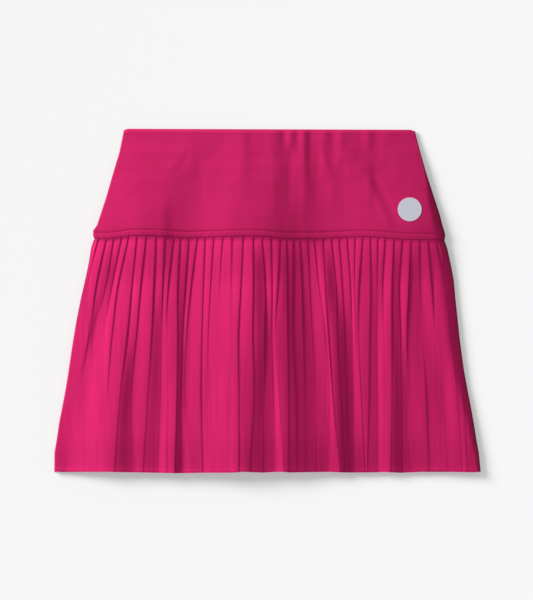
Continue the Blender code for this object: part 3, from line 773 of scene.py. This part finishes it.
# %% The back panels
BACK_PLEATS = 43
BACK_FIRST = 0.8
BACK_SWAY = 0.22
BACK_SWAY_STEP = 2.4
BACK_GROOVE = 0.8
BACK_GROOVE_HALF = 0.7
BACK_GROOVE_SHAPE = 1.5
BACK_GROOVE_COLUMNS = np.linspace(-1, 1, 7)
YOKE_BACK_COLUMNS = 120
YOKE_BACK_WALL = 1.0
BACK_LEVELS = np.array([SEAM_MEAN - 0.3, 51.0, 48.0, 30.0, 12.0, -9.0, -30.0, -57.0, -85.0, -112.0, -136.0,
                        HEM_Y + 5.2, HEM_Y + 4.6, HEM_Y + 4.0, HEM_Y + 1.0, HEM_Y])


def skirt_back_row(level):
    """One row of the skirt's back, with a groove at each fold and one at the hem's stitches."""
    left, right = sides(SKIRT_SIDES, level)
    xs, zs = [left], [0.0]
    for k in range(BACK_PLEATS):
        uneven = k + BACK_FIRST + BACK_SWAY * np.sin(BACK_SWAY_STEP * k)
        x = left + (right - left) * uneven / (BACK_PLEATS + 2 * BACK_FIRST - 1)
        for t in BACK_GROOVE_COLUMNS:
            xs.append(x + BACK_GROOVE_HALF * t)
            zs.append(BACK_GROOVE * (1 - abs(t)) ** BACK_GROOVE_SHAPE)
    xs.append(right)
    zs.append(0.0)
    groove = stitch_groove(level - HEM_Y - HEM_TURN)
    return np.array(xs), np.full(len(xs), level), np.array(zs) + groove


back_rows = [skirt_back_row(level) for level in BACK_LEVELS]
skirt_back = cloth_shell("pleated_back", *(np.array([row[i] for row in back_rows]) for i in range(3)), way=1)

back_xs, back_ys = yoke_rows(YOKE_SHARES, np.linspace(0, 1, YOKE_BACK_COLUMNS), front=False)
back_above = back_ys - SEAM_MEAN
back_zs = stitch_groove(back_above - LOWER_ROW) + stitch_groove(back_above - LOWER_ROW - TWIN_NEEDLE)
yoke_back = cloth_shell("yoke_back_panel", back_xs, back_ys, back_zs, way=1, wall=YOKE_BACK_WALL)

# %% [markdown]
# ## The shorts
#
# The shorts are inside, between the skirt's back and front, and hold the front up a little. They are two
# flat panels, each an outline extruded by its thickness, with a round edge, and cut across at the leg hems.

# %% The shorts
SHORTS_OUTLINE = [
    (132.5, 57.0),
    (133.5, 49.0),
    (133.5, 12.0),
    (132.0, -62.0),
    (130.0, -109.0),
    (6.0, -109.0),
    (0.0, -62.0),
]
SHORTS_WALL = 0.8
SHORTS_EASE = 0.1
SHORTS_EDGE = 0.25
EDGE_ANGLE = math.radians(30)
LEG_HEM = 18.0


def shorts_panel(name, bottom):
    """One flat panel, mirrored about the middle, cut along its leg hems and softened at its edges."""
    mesh = bmesh.new()
    outline = SHORTS_OUTLINE + [(-x, y) for x, y in reversed(SHORTS_OUTLINE[:-1])]
    corners = [mesh.verts.new((x * MM, y * MM, bottom * MM)) for x, y in outline]
    mesh.faces.new(corners)
    hem_y = (min(y for _, y in SHORTS_OUTLINE) + LEG_HEM) * MM
    bmesh.ops.bisect_plane(mesh, geom=mesh.verts[:] + mesh.edges[:] + mesh.faces[:],
                           plane_co=(0, hem_y, 0), plane_no=(0, 1, 0))
    raised = bmesh.ops.extrude_face_region(mesh, geom=mesh.faces[:])["geom"]
    top = [v for v in raised if isinstance(v, bmesh.types.BMVert)]
    bmesh.ops.translate(mesh, verts=top, vec=(0, 0, SHORTS_WALL * MM))
    bmesh.ops.recalc_face_normals(mesh, faces=mesh.faces[:])
    rim = [e for e in mesh.edges if e.calc_face_angle(0) > EDGE_ANGLE]
    bmesh.ops.bevel(mesh, geom=rim, offset=SHORTS_EDGE * MM, segments=2, profile=0.5, affect="EDGES",
                    material=-1)
    return as_object(name, mesh)


shorts_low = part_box("shorts_back")[0].z / MM
shorts_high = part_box("shorts_front")[0].z / MM
shorts_back = shorts_panel("shorts_back_panel", shorts_low + SHORTS_EASE)
shorts_front = shorts_panel("shorts_front_panel", shorts_high + SHORTS_EASE)

# %% [markdown]
# ## The stitches
#
# A stitch is a short thread that dips into the cloth at both ends, so each one here is a small stretched
# sphere half sunk in its groove. Between the two rows of the coverstitch, broader threads run across from
# row to row. All the threads of the yoke are one mesh, and all those of the hem another.

# %% Rows of stitches
STITCH_PITCH = 2.1
STITCH_LENGTH = 1.3
ROUND_THREAD, THREAD_RINGS = 6, 4
THREAD = 0.42
THREAD_RISE = 0.2
RIB_PITCH = 1.8
RIB = 0.7
RIB_HEIGHT = 0.2
RIB_GAP = 0.3
SEAM_ROW = (-144.0, 147.0)
HEM_ROW = (-177.0, 177.0)


def places(row, pitch):
    """Places across the garment at nearly a pitch, from one end of a row to the other."""
    return np.linspace(row[0], row[1], round((row[1] - row[0]) / pitch))


def add_thread(mesh, start, end, halves):
    """Adds a stretched sphere between two points, turned and tilted to lie along them."""
    turned = (end - start).to_track_quat("X", "Z").to_matrix().to_4x4()
    shape = Matrix.Diagonal((*halves, 1))
    place = Matrix.Scale(MM, 4) @ Matrix.Translation((start + end) / 2) @ turned @ shape
    bmesh.ops.create_uvsphere(mesh, u_segments=ROUND_THREAD, v_segments=THREAD_RINGS, radius=1, matrix=place)


def stitch_row(mesh, xs, y_of, z_of):
    """Adds stitches to a mesh along a line."""
    for x0, x1 in zip(xs[:-1], xs[1:]):
        start = Vector((x0, y_of(x0), z_of(x0)))
        end = Vector((x1, y_of(x1), z_of(x1)))
        add_thread(mesh, start, end, (STITCH_LENGTH / 2, THREAD / 2, THREAD / 2))


def coverstitch(mesh, above):
    """One of the two rows, at a distance above the seam."""
    stitch_row(mesh, places(SEAM_ROW, STITCH_PITCH), lambda x: float(seam_y(x) + above),
               lambda x: float(yoke_surface(x, seam_y(x) + above)) + THREAD * THREAD_RISE)


def cover_threads(mesh):
    """The threads that run across between the two rows."""
    low, high = LOWER_ROW + RIB_GAP, LOWER_ROW + TWIN_NEEDLE - RIB_GAP
    for x in places(SEAM_ROW, RIB_PITCH):
        start, end = (Vector((x, float(seam_y(x)) + above, float(yoke_surface(x, seam_y(x) + above))))
                      for above in (low, high))
        add_thread(mesh, start, end, ((end - start).length / 2, RIB / 2, RIB_HEIGHT))


yoke_stitches = bmesh.new()
coverstitch(yoke_stitches, LOWER_ROW)
coverstitch(yoke_stitches, LOWER_ROW + TWIN_NEEDLE)
cover_threads(yoke_stitches)
yoke_thread = as_object("yoke_stitches", yoke_stitches)

hem_row = int(np.argmin(np.abs(ROW_LEVELS - (HEM_Y + HEM_TURN - HEM_STITCH_IN))))
hem_xs, hem_ys, hem_zs = skirt_xs[hem_row], skirt_ys[hem_row], skirt_zs[hem_row]
hem_stitches = bmesh.new()
stitch_row(hem_stitches, places(HEM_ROW, STITCH_PITCH), lambda x: float(np.interp(x, hem_xs, hem_ys)),
           lambda x: float(np.interp(x, hem_xs, hem_zs)) + THREAD * THREAD_RISE)
hem_thread = as_object("hem_stitches", hem_stitches)

# %% [markdown]
# ## The round mark
#
# A small light reflective dot is heat-pressed on the yoke near the hip. It is a thin film, so it is made as
# a thin disc whose rim lies on the yoke's own surface.

# %% The dot
DOT_X, DOT_Y, DOT_RADIUS = 119.3, 76.4, 10.0
DOT_FILM = 0.16
DOT_UNDERSIDE = 0.01
DOT_CORNERS = 64


def dot_on_yoke():
    """A disc laid on the yoke, as thick as the film."""
    mesh = bmesh.new()
    bmesh.ops.create_circle(mesh, cap_ends=True, cap_tris=False, segments=DOT_CORNERS, radius=1)
    raised = bmesh.ops.extrude_face_region(mesh, geom=mesh.faces[:])["geom"]
    top = {v for v in raised if isinstance(v, bmesh.types.BMVert)}
    for vert in mesh.verts:
        x, y = DOT_X + vert.co.x * DOT_RADIUS, DOT_Y + vert.co.y * DOT_RADIUS
        z = float(yoke_surface(x, y)) + (DOT_FILM if vert in top else DOT_UNDERSIDE)
        vert.co = (x * MM, y * MM, z * MM)
    bmesh.ops.recalc_face_normals(mesh, faces=mesh.faces[:])
    return as_object("reflective_dot", mesh)


dot = dot_on_yoke()

# %% [markdown]
# ## The knit
#
# Seen close, a fine jersey is rows of small loops: narrow ribs down the cloth, with a finer wave across
# them. Seen from a step away it is matte and slightly uneven. One node group makes both for every fabric
# here: a tone that varies over the cloth, and a height for the bump.

# %% A node group for knitted cloth
USUAL_PITCH = 0.0008
RIB_DEPTH = 0.35
COURSE_DEPTH = 0.2
FUZZ_SCALE = 900
PATCH_SCALE = 90


def new_group(name, inputs, outputs):
    """A shader node group with the given inputs and outputs."""
    group = bpy.data.node_groups.new(name, "ShaderNodeTree")
    for label, kind, value in inputs:
        socket = group.interface.new_socket(label, in_out="INPUT", socket_type=kind)
        if value is not None:
            socket.default_value = value
    for label, kind in outputs:
        group.interface.new_socket(label, in_out="OUTPUT", socket_type=kind)
    return group, group.nodes.new("NodeGroupInput"), group.nodes.new("NodeGroupOutput")


def math_node(tree, operation, a, b=None):
    """A math node fed by sockets or plain numbers."""
    node = tree.nodes.new("ShaderNodeMath")
    node.operation = operation
    for slot, value in enumerate((a, b)):
        if value is None:
            continue
        if isinstance(value, (int, float)):
            node.inputs[slot].default_value = value
        else:
            tree.links.new(value, node.inputs[slot])
    return node.outputs[0]


def knit_group():
    """The pitch of the ribs is in metres, and Streaks says how closely the tone varies along each axis."""
    group, given, out = new_group(
        "fine_knit",
        [("Vector", "NodeSocketVector", None), ("Pitch", "NodeSocketFloat", USUAL_PITCH),
         ("Streaks", "NodeSocketVector", None)],
        [("Height", "NodeSocketFloat"), ("Tone", "NodeSocketFloat")],
    )
    place = group.nodes.new("ShaderNodeSeparateXYZ")
    group.links.new(given.outputs["Vector"], place.inputs[0])
    turns = math_node(group, "DIVIDE", 2 * math.pi, given.outputs["Pitch"])
    ribs = math_node(group, "SINE", math_node(group, "MULTIPLY", place.outputs["X"], turns))
    courses = math_node(group, "SINE", math_node(group, "MULTIPLY", place.outputs["Y"], turns))
    loops = math_node(group, "ADD", math_node(group, "MULTIPLY", ribs, RIB_DEPTH),
                      math_node(group, "MULTIPLY", courses, COURSE_DEPTH))
    fuzz = group.nodes.new("ShaderNodeTexNoise")
    fuzz.inputs["Scale"].default_value = FUZZ_SCALE
    fuzz.inputs["Detail"].default_value = 2
    group.links.new(given.outputs["Vector"], fuzz.inputs["Vector"])
    group.links.new(math_node(group, "ADD", loops, fuzz.outputs[0]), out.inputs["Height"])
    patches = group.nodes.new("ShaderNodeTexNoise")
    patches.inputs["Scale"].default_value = PATCH_SCALE
    patches.inputs["Detail"].default_value = 3
    stretched = group.nodes.new("ShaderNodeVectorMath")
    stretched.operation = "MULTIPLY"
    group.links.new(given.outputs["Vector"], stretched.inputs[0])
    group.links.new(given.outputs["Streaks"], stretched.inputs[1])
    group.links.new(stretched.outputs[0], patches.inputs["Vector"])
    group.links.new(patches.outputs[0], out.inputs["Tone"])
    return group


knit = knit_group()
puts_out = [socket.name for socket in knit.interface.items_tree if socket.in_out == "OUTPUT"]
print("node group", knit.name, "puts out", puts_out)

# %% [markdown]
# ## The finishes
#
# The yoke is a matte knit and the skirt a lighter, brighter one. Both have hardly any gloss, only the soft
# pink sheen that short fibres give at the turn of a fold. The light colour and dark colour of each are
# mixed by the uneven tone of the knit. Where the cloth tilts steeply away from level, at the step of a fold
# or at a side edge, its colour is painted darker: painted shade, for the shade that falls there.

# %% Fabric materials
# Painted shade at folds: how dark the colour gets, and between which tilts of the cloth it comes in.
SHADE_AT_FOLD = 0.3
FOLD_SHADE_STARTS = 0.98
FOLD_SHADE_FULL = 0.6
KNIT_ROUGHNESS = 0.85
KNIT_GLOSS = 0.12
BUMP_STRENGTH = 0.6
SHEEN_ROUGHNESS = 0.5
SHEEN_TINT = (1.0, 0.3, 0.55, 1)


def new_material(name):
    """A material, its node tree and its one shader."""
    made = bpy.data.materials.new(name)
    made.use_nodes = True
    return made, made.node_tree, made.node_tree.nodes["Principled BSDF"]


def mixed(tree, factor, a, b):
    """A colour between two, each of them a plain colour or a socket."""
    node = tree.nodes.new("ShaderNodeMix")
    node.data_type = "RGBA"
    tree.links.new(factor, node.inputs["Factor"])
    for label, colour in (("A", a), ("B", b)):
        if isinstance(colour, tuple):
            node.inputs[label].default_value = (*colour, 1)
        else:
            tree.links.new(colour, node.inputs[label])
    return node.outputs["Result"]


def give_relief(tree, shader, height, depth, strength=1.0):
    """Bends a shader's normals as a relief would, with a depth in millimetres."""
    relief = tree.nodes.new("ShaderNodeBump")
    relief.inputs["Distance"].default_value = depth * MM
    relief.inputs["Strength"].default_value = strength
    tree.links.new(height, relief.inputs["Height"])
    tree.links.new(relief.outputs["Normal"], shader.inputs["Normal"])


def fabric(name, light, dark, pitch, bump, sheen, streaks=(1, 1, 1), shade_at_fold=SHADE_AT_FOLD):
    """A knitted fabric: two close colours with painted shade at folds, a fine bump and a little sheen."""
    made, tree, shader = new_material(name)
    place = tree.nodes.new("ShaderNodeTexCoord")
    cloth = tree.nodes.new("ShaderNodeGroup")
    cloth.node_tree = knit
    cloth.inputs["Pitch"].default_value = pitch
    cloth.inputs["Streaks"].default_value = streaks
    tree.links.new(place.outputs["Object"], cloth.inputs["Vector"])
    colour = mixed(tree, cloth.outputs["Tone"], dark, light)
    # Painted shade: the colour goes towards a darker copy where the cloth tilts steeply, at folds and edges.
    facing = tree.nodes.new("ShaderNodeSeparateXYZ")
    tree.links.new(place.outputs["Normal"], facing.inputs[0])
    folded = tree.nodes.new("ShaderNodeMapRange")
    folded.inputs["From Min"].default_value = FOLD_SHADE_FULL
    folded.inputs["From Max"].default_value = FOLD_SHADE_STARTS
    tree.links.new(math_node(tree, "ABSOLUTE", facing.outputs["Z"]), folded.inputs["Value"])
    fold_shaded = mixed(tree, folded.outputs["Result"], tuple(shade_at_fold * c for c in dark), colour)
    tree.links.new(fold_shaded, shader.inputs["Base Color"])
    give_relief(tree, shader, cloth.outputs["Height"], bump, BUMP_STRENGTH)
    shader.inputs["Roughness"].default_value = KNIT_ROUGHNESS
    shader.inputs["Specular IOR Level"].default_value = KNIT_GLOSS
    shader.inputs["Sheen Weight"].default_value = sheen
    shader.inputs["Sheen Roughness"].default_value = SHEEN_ROUGHNESS
    shader.inputs["Sheen Tint"].default_value = SHEEN_TINT
    return made


yoke_knit = fabric("yoke_knit", (0.64, 0.013, 0.131), (0.52, 0.010, 0.101),
                   pitch=0.0008, bump=0.05, sheen=0.10, streaks=(3, 6, 1))
skirt_knit = fabric("skirt_knit", (0.80, 0.015, 0.170), (0.53, 0.010, 0.102),
                    pitch=0.0006, bump=0.03, sheen=0.15, streaks=(6, 0.2, 1))
shorts_knit = fabric("shorts_knit", (0.55, 0.010, 0.110), (0.50, 0.009, 0.100),
                     pitch=0.0008, bump=0.05, sheen=0.10)
thread = fabric("thread", (0.60, 0.012, 0.125), (0.52, 0.010, 0.110),
                pitch=0.0003, bump=0.03, sheen=0.2, shade_at_fold=1.0)
print("fabrics:", [made.name for made in (yoke_knit, skirt_knit, shorts_knit, thread)])

# %% [markdown]
# ### The film, and who wears what
#
# The dot is a silver-grey film with fine glass beads in it. The yoke's two sides share one knit, the
# skirt's two sides another, and the shorts have a third.

# %% The film and the finishes
BEAD_SCALE = 1500
BEAD_DEPTH = 0.02
FILM_DARK = (0.60, 0.60, 0.68)
FILM_LIGHT = (0.78, 0.78, 0.86)
FILM_ROUGHNESS = 0.45
FILM_METALLIC = 0.2


def film_material():
    """The dot's film, a little glossier than the cloth."""
    made, tree, shader = new_material("silver_film")
    place = tree.nodes.new("ShaderNodeTexCoord")
    beads = tree.nodes.new("ShaderNodeTexNoise")
    beads.inputs["Scale"].default_value = BEAD_SCALE
    tree.links.new(place.outputs["Object"], beads.inputs["Vector"])
    tree.links.new(mixed(tree, beads.outputs[0], FILM_DARK, FILM_LIGHT), shader.inputs["Base Color"])
    give_relief(tree, shader, beads.outputs[0], BEAD_DEPTH)
    shader.inputs["Roughness"].default_value = FILM_ROUGHNESS
    shader.inputs["Metallic"].default_value = FILM_METALLIC
    return made


finishes = [
    (yoke_front, yoke_knit),
    (yoke_back, yoke_knit),
    (skirt_front, skirt_knit),
    (skirt_back, skirt_knit),
    (shorts_front, shorts_knit),
    (shorts_back, shorts_knit),
    (yoke_thread, thread),
    (hem_thread, thread),
    (dot, film_material()),
]
for piece, finish in finishes:
    piece.data.materials.append(finish)
print(len(finishes), "pieces have a finish")

# %% [markdown]
# ## What stands for what
#
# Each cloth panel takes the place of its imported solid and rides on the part's one body. The flat size says
# how the panel was cut, as far as it shows: the pleats' hidden folds aren't in it.

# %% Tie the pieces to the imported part
panels = [
    (yoke_front, "yoke_front", "yoke", (0.297, 0.092), 0.0252, [yoke_thread, dot], ["pleated_front"]),
    (yoke_back, "yoke_back", "yoke", (0.297, 0.092), 0.0250, [], []),
    (skirt_front, "skirt_front", "skirt", (0.385, 0.202), 0.0700, [hem_thread], ["shorts_front_panel"]),
    (skirt_back, "skirt_back", "skirt", (0.385, 0.198), 0.0680, [], []),
    (shorts_front, "shorts_front", "shorts", (0.267, 0.166), 0.0425, [], ["shorts_back_panel"]),
    (shorts_back, "shorts_back", "shorts", (0.267, 0.166), 0.0425, [], ["pleated_back"]),
]
for piece, node, slot, flat, area, extras, under in panels:
    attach(piece, "root")
    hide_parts(node)
for piece in (yoke_thread, hem_thread, dot):
    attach(piece, "root")
print(len(panels), "panels replace", len(panels), "solids")

# %% [markdown]
# ## The light, the table and the camera
#
# The garment lies on a plain pale table and is seen from straight above. Two round soft lamps stand at the
# upper left. The key lamp is low and lights only the garment, which is what draws the pleats: a face that
# turns towards it is bright, and the step of each fold throws a short shadow. The other lamp is higher and
# lights only the table, where it makes the garment's own soft shadow.

# %% The lights
TOWARDS_LIGHT = (-0.8, 0.5)
KEY_DISTANCE = 1.7
KEY_ELEVATION = math.radians(9.5)
KEY_SPREAD = 6.5
KEY_WATTS = 72.0
TABLE_LAMP_DISTANCE = 2.5
TABLE_LAMP_ELEVATION = math.radians(31.0)
TABLE_LAMP_SPREAD = 14.0
TABLE_LAMP_WATTS = 108.0
LAMP_COLOUR = (1.0, 0.99, 0.98)
ROOM_COLOUR = (0.97, 0.98, 1.0, 1)
ROOM = 0.385


def soft_light(name, distance, elevation, spread, watts, lit):
    """A round soft light, aimed at the garment, that lights only some objects."""
    data = bpy.data.lights.new(name, "AREA")
    data.shape = "DISK"
    data.size = 2 * distance * math.tan(math.radians(spread))
    data.energy = watts
    data.color = LAMP_COLOUR
    light = bpy.data.objects.new(name, data)
    bpy.context.scene.collection.objects.link(light)
    level = distance * math.cos(elevation) / math.hypot(*TOWARDS_LIGHT)
    light.location = (level * TOWARDS_LIGHT[0], level * TOWARDS_LIGHT[1], distance * math.sin(elevation))
    light.rotation_euler = (-light.location).to_track_quat("-Z", "Y").to_euler()
    receivers = bpy.data.collections.new(name + "_lights")
    for piece in lit:
        receivers.objects.link(piece)
    light.light_linking.receiver_collection = receivers
    return light


garment = [piece for piece, _ in finishes]
key = soft_light("low_key", KEY_DISTANCE, KEY_ELEVATION, KEY_SPREAD, KEY_WATTS, garment)

world = bpy.data.worlds.new("soft_room")
bpy.context.scene.world = world
world.use_nodes = True
room = world.node_tree.nodes["Background"]
room.inputs["Color"].default_value = ROOM_COLOUR
room.inputs["Strength"].default_value = ROOM
bpy.context.scene.view_settings.view_transform = "Standard"
print("main light at", [round(c, 2) for c in key.location])

# %% [markdown]
# ### The table
#
# A lamp as near as this one is stronger on its own side, and a photographer would even that out with a lit
# table. So the table glows a little, and its paper is darker towards the lamp: its colour is the light that
# it should send back, divided by the light that it gets there from the lamp and the room. The lamp's share
# falls with the cube of the distance: with its square, and once more because the light comes in flatter.

# %% The table
TABLE_HALF = 4.0
TABLE_UNDER = 0.0002
TABLE_LIGHT = 0.934
TABLE_GLOW = 0.34

table_mesh = bmesh.new()
bmesh.ops.create_grid(table_mesh, x_segments=1, y_segments=1, size=TABLE_HALF)
bmesh.ops.translate(table_mesh, verts=table_mesh.verts[:], vec=(0, 0, -TABLE_UNDER))
table = as_object("table_top", table_mesh)
table_lamp = soft_light("table_lamp", TABLE_LAMP_DISTANCE, TABLE_LAMP_ELEVATION, TABLE_LAMP_SPREAD,
                        TABLE_LAMP_WATTS, [table])


def paper_material():
    """Plain pale paper that looks evenly lit."""
    made, tree, shader = new_material("pale_paper")
    place = tree.nodes.new("ShaderNodeTexCoord")
    to_lamp = tree.nodes.new("ShaderNodeVectorMath")
    to_lamp.operation = "DISTANCE"
    to_lamp.inputs[1].default_value = table_lamp.location
    tree.links.new(place.outputs["Object"], to_lamp.inputs[0])
    on_table = TABLE_LAMP_WATTS * math.sin(TABLE_LAMP_ELEVATION) * TABLE_LAMP_DISTANCE / math.pi**2
    on_table *= math.cos(math.radians(TABLE_LAMP_SPREAD)) ** 2
    cubed = math_node(tree, "POWER", to_lamp.outputs["Value"], 3.0)
    from_lamp = math_node(tree, "DIVIDE", on_table, cubed)
    colour = math_node(tree, "DIVIDE", TABLE_LIGHT - TABLE_GLOW, math_node(tree, "ADD", from_lamp, ROOM))
    tree.links.new(colour, shader.inputs["Base Color"])
    shader.inputs["Roughness"].default_value = 1.0
    shader.inputs["Specular IOR Level"].default_value = 0.0
    shader.inputs["Emission Color"].default_value = (1, 1, 1, 1)
    shader.inputs["Emission Strength"].default_value = TABLE_GLOW
    return made


table.data.materials.append(paper_material())

# %% [markdown]
# ### The camera
#
# The camera looks straight down from far above, so the garment is seen nearly without perspective. Its lens
# is worked out from the height of the picture in pixels and the size of one pixel on the garment.

# %% The camera
PHOTO_WIDTH, PHOTO_HEIGHT = 533, 600
MM_PER_PIXEL = 0.84
PHOTO_ZERO = (267.5, 300.4)
CAMERA_HEIGHT = 2.4
SEEN_LEVEL = 6.0
FURTHEST_SEEN = 20

camera_data = bpy.data.cameras.new("camera")
camera = bpy.data.objects.new("camera", camera_data)
bpy.context.scene.collection.objects.link(camera)
camera.location = (
    (PHOTO_WIDTH / 2 - PHOTO_ZERO[0]) * MM_PER_PIXEL * MM,
    (PHOTO_ZERO[1] - PHOTO_HEIGHT / 2) * MM_PER_PIXEL * MM,
    CAMERA_HEIGHT + SEEN_LEVEL * MM,
)
camera_data.lens = camera_data.sensor_width * CAMERA_HEIGHT / (PHOTO_HEIGHT * MM_PER_PIXEL * MM)
camera_data.clip_end = FURTHEST_SEEN
bpy.context.scene.camera = camera
print("lens", round(camera_data.lens), "mm")
